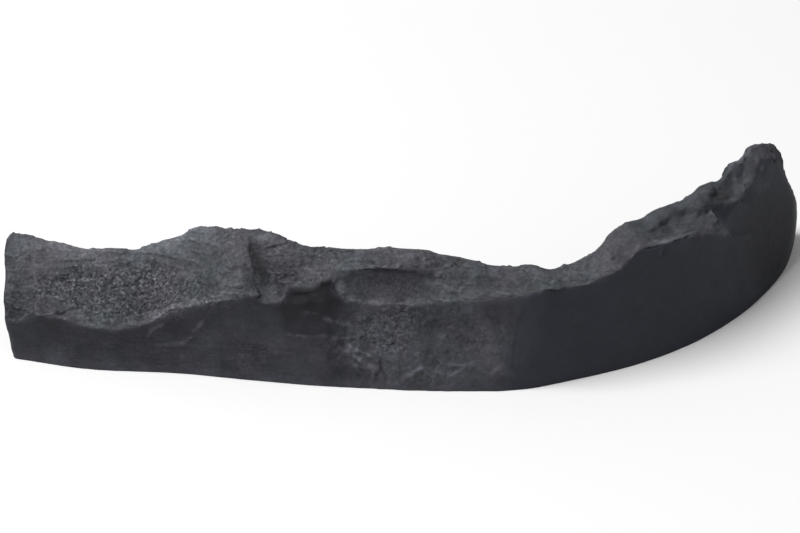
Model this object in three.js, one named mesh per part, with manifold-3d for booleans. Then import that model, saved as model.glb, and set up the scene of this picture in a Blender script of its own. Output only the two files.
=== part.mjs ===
// Slate slab: one natural piece of dark slate, a long slab that bends back at its right end.
// It lies on a flat bed face. The front is a steep broken face, the top slopes up from the
// front rim to a ragged crest, and the back drops steeply behind the crest.
// The slab is lofted along the plan line of its front foot, then flakes are struck off it.
// Millimetres, +X along the slab, +Y away from the front, +Z up.
import * as THREE from "three";
import { mergeVertices } from "three/addons/utils/BufferGeometryUtils.js";
import { ImprovedNoise } from "three/addons/math/ImprovedNoise.js";
import Module from "manifold-3d";

const wasm = await Module();
wasm.setup();

// Plan of the front foot, where the front face meets the ground: [x, y].
const FOOT = [
  [-318, 47], [-287, 39], [-229, 26], [-162, 21], [-103, 12], [-37, 4], [40, 0], [88, 2],
  [132, 15], [178, 33], [225, 62], [267, 102], [299, 152], [308, 186], [304, 218],
];

// The lines that run the length of the slab: [distance along the foot, setback behind the foot, height].
// The rim parts the front face from the broken top.
const RIM = [
  [0, 1, 36], [56, 1, 42], [71, 2, 42], [94, 2, 37], [112, 2, 36], [135, 2, 41], [153, 3, 55],
  [175, 4, 61], [205, 5, 70], [216, 5, 75], [231, 6, 71], [239, 7, 71], [246, 10, 80], [271, 14, 87],
  [280, 14, 66], [299, 15, 64], [321, 16, 65], [350, 15, 68], [369, 14, 72], [410, 9, 75], [428, 5, 83],
  [462, 4, 82], [479, 4, 85], [490, 4, 91], [496, 5, 97], [510, 5, 103], [547, 5, 98], [572, 5, 91],
  [590, 8, 96], [640, 9, 96], [675, 6, 84], [688, 3, 70], [700, 2, 57], [712, 1, 44], [750, 1, 32],
];
// The tread is the inner edge of the ledge behind the rim, at the foot of a small riser.
const TREAD = [
  [0, 15, 40], [56, 15, 43], [94, 16, 39], [135, 16, 44], [153, 16, 57], [175, 17, 63], [199, 16, 79],
  [206, 16, 81], [217, 17, 73], [231, 18, 74], [246, 18, 83], [271, 19, 88], [280, 21, 70], [299, 23, 68],
  [321, 24, 69], [350, 21, 73], [369, 21, 77], [410, 15, 78], [430, 12, 86], [447, 10, 82], [462, 9, 83],
  [480, 9, 89], [492, 11, 97], [510, 12, 103], [530, 14, 102], [547, 15, 102], [572, 14, 100], [590, 12, 101],
  [640, 13, 103], [675, 7, 85], [688, 4, 71], [700, 3, 58], [712, 2, 44], [750, 2, 32],
];
// The shelf is the top of that riser. Over the middle it is the lip of a long scar.
const SHELF = [
  [0, 36, 49], [56, 36, 50], [94, 36, 46], [135, 36, 50], [153, 38, 63], [175, 39, 74], [199, 36, 88],
  [205, 36, 90], [217, 34, 77], [230, 32, 78], [246, 30, 84], [268, 25, 88], [291, 28, 86], [313, 30, 87],
  [335, 28, 87], [354, 27, 83], [372, 32, 82], [410, 26, 81], [430, 22, 88], [447, 20, 82], [462, 18, 84],
  [480, 18, 91], [490, 17, 101], [510, 17, 106], [530, 17, 108], [547, 17, 108], [572, 16, 110], [600, 17, 109],
  [640, 18, 115], [665, 13, 106], [680, 8, 85], [688, 5, 72], [700, 4, 59], [712, 4, 45], [750, 4, 33],
];
// The crest is the top outline seen from the front.
const CREST = [
  [0, 66, 66], [27, 64, 69], [37, 62, 67], [54, 60, 66], [81, 58, 65], [99, 60, 68],
  [125, 62, 68], [139, 64, 71], [149, 66, 74], [158, 66, 83], [165, 66, 87], [187, 62, 88], [199, 60, 92],
  [211, 60, 95], [220, 58, 94], [241, 54, 87], [257, 52, 87], [281, 50, 89], [319, 49, 92], [342, 48, 90],
  [373, 44, 87], [389, 42, 84], [407, 38, 85], [419, 36, 86], [426, 34, 90], [430, 33, 91], [440, 31, 84],
  [447, 30, 82], [456, 28, 84], [480, 28, 92], [486, 30, 98], [491, 30, 103], [503, 30, 110], [532, 30, 113],
  [562, 28, 112], [572, 28, 115], [580, 30, 118], [600, 26, 114], [609, 26, 119], [615, 26, 125],
  [643, 26, 124], [655, 24, 122], [665, 20, 119], [674, 17, 115],
  [679, 13, 109], [684, 9, 86], [700, 8, 60], [712, 8, 46], [750, 8, 34],
];
// How far the front face is hollowed at half the rim's height: [distance along the foot, setback].
const FACE = [
  [0, 3], [150, 3], [240, 4], [270, 6], [285, 11], [320, 12], [370, 11], [405, 8], [424, 1], [440, 1],
  [520, 3], [600, 3], [680, -2], [712, -2], [750, 0],
];
// How far the front face flares out at its foot: [distance along the foot, flare].
const TOE = [[0, 1.2], [100, 1.6], [560, 1.4], [640, 0.2], [750, 0]];
// How rough each stretch of the front face and of the top is: 1 is hackly, 0 is a clean cleavage face.
const FACE_ROUGHNESS = [[0, 0.5], [240, 0.5], [280, 1.2], [400, 1.2], [440, 0.25], [750, 0.25]];
const TOP_ROUGHNESS = [[0, 1], [370, 0.8], [400, 0.5], [480, 0.5], [500, 1], [750, 1]];

// The back: how far its edge and its foot lie behind the crest, and the edge's share of the crest's height.
const BACK_EDGE_BEHIND = 13;
const BACK_FOOT_BEHIND = 27;
const BACK_EDGE_SHARE = 0.6;

// Grid of the loft: spacing of the sections, and steps between neighbouring lines from foot to back foot.
const SECTION_SPACING = 5.5;
const STEPS = { face: 6, ledge: 2, riser: 3, top: 4, back: 2, backFoot: 4 };

// Lumps on every broken surface: wavelength and height of each size.
const LUMPS = [
  { wavelength: 52, height: 2.6 },
  { wavelength: 24, height: 2.2 },
  { wavelength: 13, height: 1.3 },
];

// A flake leaves a ragged bowl. This share of the ball's half-thickness is sunk in the stone,
// more where the bowl has steep walls.
const BOWL_SINK = 0.3;
const STEEP_SINK = 0.7;
const BOWL_DETAIL = 3;
const BOWL_RAGGED = 0.45;
const BOWL_GRAIN = 1.7;

// Flakes struck off. Each bowl has its place (along, setback, height), the way it faces (turn from the
// foot's outward normal and tilt upwards, in degrees), a spin about that direction, and its size.
const FLAKES = [
  // top, left to right
  { along: 44, setback: 5, height: 43, turn: -30, tilt: 30, spin: 20, length: 30, breadth: 22, depth: 3 },
  { along: 243, setback: 36, height: 82, turn: -8, tilt: 60, spin: 80, length: 50, breadth: 44, depth: 2.5 },
  {
    along: 310, setback: 23, height: 77, turn: 0, tilt: 30, spin: 2, length: 86, breadth: 24, depth: 5,
    sink: STEEP_SINK,
  },
  { along: 352, setback: 24, height: 80, turn: 0, tilt: 50, spin: -6, length: 50, breadth: 18, depth: 2.5 },
  { along: 540, setback: 15, height: 105, turn: 0, tilt: 45, spin: 8, length: 66, breadth: 18, depth: 4 },
  { along: 590, setback: 18, height: 111, turn: 16, tilt: 40, spin: -12, length: 36, breadth: 22, depth: 4 },
  { along: 622, setback: 17, height: 112, turn: 6, tilt: 36, spin: 22, length: 46, breadth: 15, depth: 3.5 },
  // back, left to right, each biting into the last
  { along: 62, setback: 74, height: 34, turn: 176, tilt: 26, spin: 8, length: 120, breadth: 52, depth: 7 },
  { along: 150, setback: 80, height: 38, turn: 186, tilt: 18, spin: -10, length: 124, breadth: 62, depth: 7 },
  { along: 238, setback: 69, height: 46, turn: 172, tilt: 24, spin: 14, length: 116, breadth: 70, depth: 8 },
  { along: 320, setback: 66, height: 38, turn: 184, tilt: 18, spin: -4, length: 112, breadth: 60, depth: 6 },
  { along: 420, setback: 54, height: 36, turn: 178, tilt: 14, spin: 4, length: 110, breadth: 54, depth: 6 },
  { along: 520, setback: 45, height: 58, turn: 184, tilt: 20, spin: -14, length: 110, breadth: 84, depth: 7 },
  { along: 620, setback: 41, height: 64, turn: 174, tilt: 14, spin: 8, length: 90, breadth: 88, depth: 6 },
];

// Flat facets, each with its place, the way it faces and how deep it is cut: the clean break at the left
// end, which leans outwards as it rises, the shoulder above it, the facet across the bend on the right,
// and the sloping break that ends the slab behind the bend.
const FACETS = [
  { along: 32, setback: 0, height: 0, turn: -75, tilt: -6.8, depth: 0 },
  { along: 14, setback: 35, height: 58, turn: -77, tilt: 18, depth: 0 },
  { along: 628, setback: 3, height: 60, turn: 2, tilt: 8, depth: 3.5 },
  { along: 724, setback: 0, height: 20, turn: 84, tilt: 16, depth: 0 },
];
const CUTTER = 400; // a block larger than any cross-section

const SLATE = { color: 0x46484c, roughness: 0.78, metalness: 0 };

const footCurve = new THREE.CatmullRomCurve3(
  FOOT.map(([x, y]) => new THREE.Vector3(x, y, 0)),
  false,
  "centripetal",
);
footCurve.arcLengthDivisions = 2000;
const FOOT_LENGTH = footCurve.getLength();
const UP = new THREE.Vector3(0, 0, 1);

// Reads a line of control points at a distance along the foot, straight between neighbours.
function readLine(line, along) {
  const after = line.findIndex(([at]) => at > along);
  const [from, to] = after > 0 ? [line[after - 1], line[after]] : line.slice(-2);
  const share = THREE.MathUtils.clamp((along - from[0]) / (to[0] - from[0]), 0, 1);
  return from.slice(1).map((value, i) => THREE.MathUtils.lerp(value, to[i + 1], share));
}

// Direction along the foot and into the slab, level, at a distance along the foot.
function footFrame(along) {
  const share = THREE.MathUtils.clamp(along / FOOT_LENGTH, 0, 1);
  const tangent = footCurve.getTangentAt(share);
  return { origin: footCurve.getPointAt(share), tangent, inward: UP.clone().cross(tangent) };
}

function place(along, setback, height) {
  const { origin, inward } = footFrame(along);
  return origin.addScaledVector(inward, setback).setZ(height);
}

// One cross-section from the front foot over the crest to the back foot, as [setback, height] points.
function section(along) {
  const [rim, tread, shelf, crest] = [RIM, TREAD, SHELF, CREST].map(
    (line) => new THREE.Vector2(...readLine(line, along)),
  );
  const [hollow] = readLine(FACE, along);
  const [toe] = readLine(TOE, along);
  const foot = new THREE.Vector2(-toe, 0);
  const hollowPull = new THREE.Vector2(2 * hollow - rim.x / 2, rim.y / 2);
  const backEdge = new THREE.Vector2(crest.x + BACK_EDGE_BEHIND, crest.y * BACK_EDGE_SHARE);
  const backFoot = new THREE.Vector2(crest.x + BACK_FOOT_BEHIND, 0);
  const runs = [
    [new THREE.QuadraticBezierCurve(foot, hollowPull, rim), STEPS.face],
    [new THREE.LineCurve(rim, tread), STEPS.ledge],
    [new THREE.LineCurve(tread, shelf), STEPS.riser],
    [new THREE.LineCurve(shelf, crest), STEPS.top],
    [new THREE.LineCurve(crest, backEdge), STEPS.back],
    [new THREE.LineCurve(backEdge, backFoot), STEPS.backFoot],
  ];
  return [foot, ...runs.flatMap(([run, steps]) => run.getPoints(steps).slice(1))];
}

// The slab before any flake is struck off: a closed grid of cross-sections with a cap at each end.
function loft() {
  const sections = Math.round(FOOT_LENGTH / SECTION_SPACING);
  const positions = [];
  const triangles = [];
  let ringSize = 0;
  for (let i = 0; i <= sections; i++) {
    const along = (FOOT_LENGTH * i) / sections;
    const points = section(along);
    ringSize = points.length;
    for (const { x, y } of points) positions.push(...place(along, x, y));
  }
  for (let i = 0; i < sections; i++) {
    for (let j = 0; j < ringSize; j++) {
      const [a, b] = [i * ringSize + j, i * ringSize + ((j + 1) % ringSize)];
      const [c, d] = [a + ringSize, b + ringSize];
      triangles.push(a, c, b, b, c, d);
    }
  }
  const last = sections * ringSize;
  for (let j = 1; j < ringSize - 1; j++) {
    triangles.push(0, j, j + 1);
    triangles.push(last, last + j + 1, last + j);
  }
  const geometry = new THREE.BufferGeometry();
  geometry.setAttribute("position", new THREE.Float32BufferAttribute(positions, 3));
  geometry.setIndex(triangles);
  geometry.computeVertexNormals();
  return geometry;
}

// Pushes the surface in and out in lumps, and keeps the bed face flat.
function addLumps(geometry) {
  const noise = new ImprovedNoise();
  const position = geometry.getAttribute("position");
  const normal = geometry.getAttribute("normal");
  const ringSize = 1 + Object.values(STEPS).reduce((sum, steps) => sum + steps, 0);
  const sections = position.count / ringSize - 1;
  for (let i = 0; i < position.count; i++) {
    const point = new THREE.Vector3().fromBufferAttribute(position, i);
    const outward = new THREE.Vector3().fromBufferAttribute(normal, i);
    const along = (FOOT_LENGTH * Math.floor(i / ringSize)) / sections;
    const onFace = i % ringSize < STEPS.face;
    const [rough] = readLine(onFace ? FACE_ROUGHNESS : TOP_ROUGHNESS, along);
    const push = LUMPS.reduce((sum, { wavelength, height }) => {
      const at = point.clone().divideScalar(wavelength);
      return sum + height * noise.noise(at.x, at.y, at.z);
    }, 0);
    const onBed = point.z === 0;
    if (onBed) outward.setZ(0);
    point.addScaledVector(outward, push * rough);
    position.setXYZ(i, point.x, point.y, onBed ? 0 : Math.max(point.z, 0));
  }
}

function toSolid(geometry) {
  const bare = geometry.clone();
  bare.deleteAttribute("normal");
  bare.deleteAttribute("uv");
  const merged = mergeVertices(bare, 1e-4);
  return new wasm.Manifold(
    new wasm.Mesh({
      numProp: 3,
      vertProperties: merged.getAttribute("position").array,
      triVerts: new Uint32Array(merged.index.array),
    }),
  );
}

function toGeometry(solid) {
  const mesh = solid.getMesh();
  const geometry = new THREE.BufferGeometry();
  geometry.setAttribute("position", new THREE.BufferAttribute(mesh.vertProperties, 3));
  geometry.setIndex(new THREE.BufferAttribute(mesh.triVerts, 1));
  geometry.computeVertexNormals();
  return geometry;
}

// The way a cut faces: outwards from the foot, turned about the vertical and tilted upwards.
function facingFrame({ along, turn, tilt, spin = 0 }) {
  const { tangent } = footFrame(along);
  const outward = tangent.cross(UP).applyAxisAngle(UP, THREE.MathUtils.degToRad(turn));
  const level = UP.clone().cross(outward);
  const facing = outward.applyAxisAngle(level, -THREE.MathUtils.degToRad(tilt));
  level.applyAxisAngle(facing, THREE.MathUtils.degToRad(spin));
  return { facing, basis: new THREE.Matrix4().makeBasis(level, facing.clone().cross(level), facing) };
}

// The bowl that one flake leaves: a ragged flattened ball sunk a little into the stone.
function bowl(flake) {
  const { along, setback, height, length, breadth, depth, sink = BOWL_SINK } = flake;
  const { facing, basis } = facingFrame(flake);
  const footprint = Math.sqrt(1 - (1 - sink) ** 2);
  const halfThickness = depth / sink;
  const ball = new THREE.IcosahedronGeometry(1, BOWL_DETAIL);
  const noise = new ImprovedNoise();
  const position = ball.getAttribute("position");
  for (let i = 0; i < position.count; i++) {
    const point = new THREE.Vector3().fromBufferAttribute(position, i);
    const at = point.clone().multiplyScalar(BOWL_GRAIN);
    const swell = 1 + BOWL_RAGGED * noise.noise(at.x + along, at.y, at.z + height);
    position.setXYZ(i, point.x * swell, point.y * swell, point.z);
  }
  ball.scale(length / 2 / footprint, breadth / 2 / footprint, halfThickness);
  ball.applyMatrix4(basis);
  const centre = place(along, setback, height).addScaledVector(facing, halfThickness - depth);
  return ball.translate(centre.x, centre.y, centre.z);
}

// Everything in front of a flat facet.
function block(facet) {
  const { along, setback, height, depth } = facet;
  const { facing, basis } = facingFrame(facet);
  const centre = place(along, setback, height).addScaledVector(facing, CUTTER / 2 - depth);
  const cube = new THREE.BoxGeometry(CUTTER, CUTTER, CUTTER).applyMatrix4(basis);
  return cube.translate(centre.x, centre.y, centre.z);
}

function slab() {
  const rough = loft();
  addLumps(rough);
  const cutters = [...FACETS.map(block), ...FLAKES.map(bowl)];
  const solid = cutters.reduce((stone, cutter) => stone.subtract(toSolid(cutter)), toSolid(rough));
  const geometry = toGeometry(solid);
  geometry.computeBoundingBox();
  const { min, max } = geometry.boundingBox;
  geometry.translate(-(min.x + max.x) / 2, -(min.y + max.y) / 2, -min.z);
  const mesh = new THREE.Mesh(geometry, new THREE.MeshStandardMaterial(SLATE));
  mesh.name = "slate_slab";
  return mesh;
}

const part = new THREE.Group();
part.add(slab());
export default part;
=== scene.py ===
# %% [markdown]
# # A slab of slate
# The object is one natural stone: a long slab of dark grey slate that bends back at its right end. It
# lies on a flat bed face. The front is a dark, steep cleavage face, and the top is a lighter, crumbled
# break that rises to a ragged crest.
#
# The measured solid already has the right size and the large forms. This lesson gives it a skin fine
# enough for chips, ledges and grain, carves those in with code, and then paints it as slate.

# %% Load the measured solid
import math

import bmesh
import bpy
import numpy as np
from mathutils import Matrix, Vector, noise


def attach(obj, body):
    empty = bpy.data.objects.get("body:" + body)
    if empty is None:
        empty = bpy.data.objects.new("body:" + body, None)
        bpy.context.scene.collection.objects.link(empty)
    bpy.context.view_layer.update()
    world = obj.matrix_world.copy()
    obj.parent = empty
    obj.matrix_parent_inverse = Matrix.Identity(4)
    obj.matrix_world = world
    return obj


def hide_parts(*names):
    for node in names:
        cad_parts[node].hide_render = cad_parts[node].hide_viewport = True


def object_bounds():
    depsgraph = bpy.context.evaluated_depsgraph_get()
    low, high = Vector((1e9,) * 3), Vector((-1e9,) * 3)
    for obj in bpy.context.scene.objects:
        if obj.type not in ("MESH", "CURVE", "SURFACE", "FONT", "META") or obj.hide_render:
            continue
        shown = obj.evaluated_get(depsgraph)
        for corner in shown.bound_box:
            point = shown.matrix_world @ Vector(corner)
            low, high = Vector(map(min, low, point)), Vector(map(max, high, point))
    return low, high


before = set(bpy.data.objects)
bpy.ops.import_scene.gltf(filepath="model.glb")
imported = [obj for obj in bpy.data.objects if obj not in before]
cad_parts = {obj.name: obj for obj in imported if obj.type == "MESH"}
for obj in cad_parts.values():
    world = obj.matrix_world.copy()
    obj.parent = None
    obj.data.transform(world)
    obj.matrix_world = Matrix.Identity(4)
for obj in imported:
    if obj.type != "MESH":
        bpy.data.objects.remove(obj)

cad_low, cad_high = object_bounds()
MM = 0.001
print("solid, mm:", [round(v / MM, 1) for v in cad_high - cad_low])

# %% [markdown]
# ## The camera
# The photograph looks down on the slab from straight in front. The front foot and the crest agree with
# a view from 36 degrees above the ground, through a long lens that hardly shows perspective. The camera
# comes first because it is also a ruler: any point of the stone can be turned into a pixel, so chips and
# ledges can be laid out where the photograph has them.

# %% Place the camera
PHOTO_WIDTH, PHOTO_HEIGHT = 800, 533
LENS_MM, SENSOR_MM = 120.0, 36.0
LOOK_DOWN = math.radians(36)
MM_PER_PIXEL = 0.734
FOCAL_PIXELS = PHOTO_WIDTH * LENS_MM / SENSOR_MM
AIM_FROM_RIGHT_MM, AIM_FROM_FRONT_MM, AIM_HEIGHT_MM = 309.5, 61.7, 68.0

aim_mm = np.array(
    [cad_high.x / MM - AIM_FROM_RIGHT_MM, cad_low.y / MM + AIM_FROM_FRONT_MM, AIM_HEIGHT_MM]
)
to_camera = np.array([0.0, -math.cos(LOOK_DOWN), math.sin(LOOK_DOWN)])
picture_up = np.array([0.0, math.sin(LOOK_DOWN), math.cos(LOOK_DOWN)])
eye_mm = aim_mm + to_camera * FOCAL_PIXELS * MM_PER_PIXEL

camera_data = bpy.data.cameras.new("photo_camera")
camera_data.lens = LENS_MM
camera_data.sensor_width = SENSOR_MM
camera = bpy.data.objects.new("photo_camera", camera_data)
camera.location = Vector(eye_mm * MM)
camera.rotation_euler = (math.pi / 2 - LOOK_DOWN, 0, 0)
bpy.context.scene.collection.objects.link(camera)
bpy.context.scene.camera = camera
print("camera distance, mm:", round(float(np.linalg.norm(eye_mm - aim_mm))))


# %% Use the camera as a ruler
def to_photo(points_mm):
    """The photograph's pixel, across and down, of each point of the stone."""
    offset = points_mm - eye_mm
    depth = -(offset @ to_camera)
    across = PHOTO_WIDTH / 2 + FOCAL_PIXELS * offset[:, 0] / depth
    down = PHOTO_HEIGHT / 2 - FOCAL_PIXELS * (offset @ picture_up) / depth
    return np.stack([across, down], axis=1)


print("the camera aims at pixel:", np.round(to_photo(aim_mm[None])[0], 1))

# %% [markdown]
# ## An even skin
# The solid is made of large flat triangles. Displacing those would only bend the triangles, so the stone
# first needs an even skin of small ones, and a voxel remesh pours one over the solid. Voxels leave small
# stairs along a sharp foot, so the bed is first pulled down and afterwards the skin is cut off level,
# which gives a clean foot and a truly flat bed. The part of the skin that the photograph shows is split
# once more, because fine grain matters most there.

# %% Pull the bed of a copy down
SPARE_MM = 10.0
WELD_MM = 0.01

stone_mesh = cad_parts["slate_slab"].data.copy()
stone_mesh.name = "riven_slate"
stone_mesh.materials.clear()
stone = bpy.data.objects.new("riven_slate", stone_mesh)
bpy.context.scene.collection.objects.link(stone)

solid = bmesh.new()
solid.from_mesh(stone_mesh)
bmesh.ops.remove_doubles(solid, verts=solid.verts, dist=WELD_MM * MM)
bed_faces = [face for face in solid.faces if max(vert.co.z for vert in face.verts) < WELD_MM * MM]
pulled = bmesh.ops.extrude_face_region(solid, geom=bed_faces)["geom"]
bmesh.ops.delete(solid, geom=[face for face in bed_faces if face.is_valid], context="FACES_ONLY")
for item in pulled:
    if isinstance(item, bmesh.types.BMVert):
        item.co.z -= SPARE_MM * MM
solid.to_mesh(stone_mesh)
solid.free()
print("bed pulled down by, mm:", SPARE_MM)

# %% Remesh the copy
SKIN_MM = 2.3

remesh = stone.modifiers.new("even_skin", "REMESH")
remesh.mode = "VOXEL"
remesh.voxel_size = SKIN_MM * MM
depsgraph = bpy.context.evaluated_depsgraph_get()
skin = bpy.data.meshes.new_from_object(stone.evaluated_get(depsgraph))
stone.modifiers.clear()
stone.data = skin
print("even skin:", len(skin.polygons), "faces")

# %% Split the faces that the photograph shows
FACING_LIMIT = -0.05
SMOOTH_END_PIXEL = 560
STEEP_NORMAL = 0.25


def at_smooth_end(face):
    """True for a face of the steep right end, which is too smooth to need finer triangles."""
    if face.normal.z >= STEEP_NORMAL:
        return False
    return to_photo(np.array([face.calc_center_median()]) / MM)[0, 0] > SMOOTH_END_PIXEL


fine = bmesh.new()
fine.from_mesh(skin)
# A dict keeps its order, so every run splits the edges in the same order.
shown_edges = {}
for face in fine.faces:
    above_bed = face.calc_center_median().z > -SKIN_MM * MM
    if face.normal.dot(Vector(to_camera)) > FACING_LIMIT and above_bed and not at_smooth_end(face):
        shown_edges.update(dict.fromkeys(face.edges))
print("edges to split:", len(shown_edges))
bmesh.ops.subdivide_edges(fine, edges=list(shown_edges), cuts=1, use_grid_fill=True)
bmesh.ops.triangulate(fine, faces=[face for face in fine.faces if len(face.verts) > 4])

# %% Cut the bed level
everything = [*fine.verts, *fine.edges, *fine.faces]
cut = bmesh.ops.bisect_plane(
    fine, geom=everything, plane_co=(0, 0, 0), plane_no=(0, 0, -1), clear_outer=True
)
foot_edges = [edge for edge in cut["geom_cut"] if isinstance(edge, bmesh.types.BMEdge)]
bed = bmesh.ops.edgeloop_fill(fine, edges=foot_edges)["faces"]
bmesh.ops.recalc_face_normals(fine, faces=fine.faces)
for edge in foot_edges:
    edge.smooth = False
for face in fine.faces:
    face.smooth = True
fine.to_mesh(skin)
print("corners of the bed, and the way it faces:", [(len(f.verts), round(f.normal.z, 2)) for f in bed])
fine.free()
triangles = sum(len(polygon.vertices) - 2 for polygon in skin.polygons)
print("fine skin:", len(skin.vertices), "points,", triangles, "triangles")

# %% Read the skin as arrays of numbers
COUNT = len(skin.vertices)
edge_ends = np.empty(len(skin.edges) * 2, dtype=np.int64)
skin.edges.foreach_get("vertices", edge_ends)
edge_ends = edge_ends.reshape(-1, 2)
edge_count = np.bincount(edge_ends.ravel(), minlength=COUNT)


def read_vectors(name):
    """One vector per point of the skin, such as co for its place in metres or normal."""
    flat = np.empty(COUNT * 3)
    skin.vertices.foreach_get(name, flat)
    return flat.reshape(-1, 3)


foot = read_vectors("co")[:, 2] < WELD_MM * MM
print("points along the foot:", int(foot.sum()))

# %% Smooth the stairs of the voxels away
RELAX_ROUNDS = 3


def relax(values, rounds):
    """Draws each point's values half-way to the mean of its neighbours, several times."""
    ends, others = np.concatenate([edge_ends, edge_ends[:, ::-1]]).T
    columns = values.reshape(COUNT, -1)
    for _ in range(rounds):
        sums = [np.bincount(ends, weights=column[others], minlength=COUNT) for column in columns.T]
        columns = (columns + np.stack(sums, axis=1) / edge_count[:, None]) / 2
    return columns.reshape(values.shape)


def write_points(points_mm):
    """Puts the points back on the skin, with the foot level and nothing below it."""
    points_mm[:, 2] = np.where(foot, 0, np.maximum(points_mm[:, 2], 0))
    skin.vertices.foreach_set("co", (points_mm * MM).ravel())
    skin.update()
    return points_mm


points = write_points(relax(read_vectors("co") / MM, RELAX_ROUNDS))
print("smooth skin, mm:", np.round(points.max(axis=0) - points.min(axis=0), 1))

# %% [markdown]
# ## Where each kind of surface is
# Slate has two kinds of surface. A cleavage face splits along the stone's layers, so it is smooth and
# dark. A break across the layers is hackly, crumbled and lighter. On this slab the front is mostly
# cleavage and the top is all break. A mask is one number per point, from 0 to 1, and can be read from
# the way that the surface faces or drawn in the photograph's pixels.

# %% Read the way that the surface faces
BROAD_ROUNDS, SHOWN_ROUNDS = 6, 60
CREST_FACING, SHOWN_FACING = (0.1, 0.5), (0.0, 0.2)


def ramp(values, low, high):
    """A smooth rise from 0 at low to 1 at high, and level on both sides. It falls where low is over high."""
    share = np.clip((values - low) / (high - low), 0, 1)
    return share * share * (3 - 2 * share)


def broad_directions():
    """The way that the surface faces, averaged over a few millimetres, and level along the foot."""
    directions = read_vectors("normal")
    directions[foot, 2] = 0
    directions = relax(directions, BROAD_ROUNDS)
    return directions / np.linalg.norm(directions, axis=1, keepdims=True)


outward = broad_directions()
off_crest = ramp(np.abs(outward @ to_camera), *CREST_FACING)
shown = ramp(relax(outward, SHOWN_ROUNDS) @ to_camera, *SHOWN_FACING)
hidden = 1 - shown
print("share of the skin that the photograph shows:", round(float(shown.mean()), 2))

# %% Draw ovals in the photograph
# A mask with clean borders would look cut out, so the pixels are first shifted by a little noise.
RAGGED_MM, RAGGED_PIXELS, RAGGED_SEED = 7.0, 1.5, 50.0


def wave(places, size_mm):
    """Smooth noise, from about -0.6 to 0.6, with waves of this size."""
    return np.array([noise.noise(Vector(place)) for place in places / size_mm])


def through(centre, reach, soft=0.5):
    """1 inside an oval and fading to 0 at its reach, on the front and the back alike."""
    distance = np.linalg.norm((photo - centre) / reach, axis=1)
    return ramp(-distance, -1, -1 + soft)


def oval(centre, reach, soft=0.5):
    """1 inside an oval and fading to 0 at its reach, only where the photograph shows the stone."""
    return shown * through(centre, reach, soft)


ragged = np.stack([wave(points, RAGGED_MM), wave(points + RAGGED_SEED, RAGGED_MM)], axis=1)
photo = to_photo(points) + RAGGED_PIXELS * ragged
print("borders are ragged by up to, pixels:", round(RAGGED_PIXELS * float(np.abs(ragged).max()), 1))

# %% Draw paths and rings in the photograph
END_FADE = 0.2


def beside_path(path):
    """How many pixels each point lies to the right of a path, and a fade towards the path's two ends."""
    corners = np.array(path, dtype=float)
    legs = np.diff(corners, axis=0)
    lengths = np.linalg.norm(legs, axis=1)
    starts = np.cumsum(lengths) - lengths
    nearest = np.full(COUNT, np.inf)
    side = np.zeros(COUNT)
    share = np.zeros(COUNT)
    for corner, leg, length, start in zip(corners, legs, lengths, starts):
        offset = photo - corner
        walked = np.clip(offset @ leg / length**2, 0, 1)
        distance = np.linalg.norm(offset - walked[:, None] * leg, axis=1)
        closer = distance < nearest
        nearest[closer] = distance[closer]
        side[closer] = np.sign(leg[0] * offset[closer, 1] - leg[1] * offset[closer, 0])
        share[closer] = (start + walked[closer] * length) / lengths.sum()
    fade = ramp(np.minimum(share, 1 - share), 0, END_FADE)
    return nearest * side, fade * shown


def inside_ring(ring):
    """How many pixels each point lies inside a closed ring, and less than 0 outside it."""
    corners = np.array(ring, dtype=float)
    inside = np.zeros(COUNT, dtype=bool)
    nearest = np.full(COUNT, np.inf)
    for corner, following in zip(corners, np.roll(corners, -1, axis=0)):
        leg = following - corner
        offset = photo - corner
        walked = np.clip(offset @ leg / (leg @ leg), 0, 1)
        nearest = np.minimum(nearest, np.linalg.norm(offset - walked[:, None] * leg, axis=1))
        spans = (corner[1] > photo[:, 1]) != (following[1] > photo[:, 1])
        crossing = corner[0] + leg[0] * offset[:, 1] / (leg[1] or 1)
        inside ^= spans & (photo[:, 0] < crossing)
    return np.where(inside, nearest, -nearest)


whole = inside_ring([(0, 0), (PHOTO_WIDTH, 0), (PHOTO_WIDTH, PHOTO_HEIGHT), (0, PHOTO_HEIGHT)])
print("room around the stone in the photograph, pixels:", round(float(whole.min()), 1))

# %% [markdown]
# ## Weathered walls
# The solid has a few walls that are cleaner than weather leaves them: the end of the long scar, the flank
# of the rib, small points on the crest. Drawing the points there towards their neighbours rounds them off
# as wear does. A few ovals with a number of rounds each do this where it is needed and nowhere else.

# %% Ease the walls that the solid has cut too clean
EASED = {
    "scar_end": ((337, 288), (26, 36), 110),
    "scar": ((390, 286), (60, 16), 20),
    "rib": ((256, 262), (18, 48), 50),
    "pocket_rim": ((306, 293), (30, 14), 50),
    "ledge_bevel": ((720, 230), (24, 18), 40),
    "crest_tip": ((206, 229), (16, 9), 25),
    "nose": ((270, 302), (18, 10), 30),
    "horn": ((744, 164), (14, 18), 50),
    "right_top": ((700, 200), (90, 60), 10),
}
# These lie on the crest itself, so they are eased on the front and the back.
CREST_EASED = {
    "left_tip": ((14, 232), (12, 9), 30),
    "point": ((274, 233), (18, 11), 40),
    "step": ((543, 265), (18, 11), 90),
}
CREST_ROUNDS = 10
EASED_SOFT = 0.6


def ease(places, mask, rounds):
    """Draws the points under a mask to the means of their neighbours, like a skin stretched over them."""
    for _ in range(rounds):
        places = places + (relax(places, 1) - places) * mask[:, None]
    return places


points = ease(points, 1 - off_crest, CREST_ROUNDS)
for centre, reach, rounds in EASED.values():
    points = ease(points, oval(centre, reach, EASED_SOFT), rounds)
for centre, reach, rounds in CREST_EASED.values():
    points = ease(points, through(centre, reach, EASED_SOFT), rounds)
points = write_points(points)
photo = to_photo(points) + RAGGED_PIXELS * ragged
outward = broad_directions()
print("eased places:", len(EASED) + len(CREST_EASED))

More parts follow.
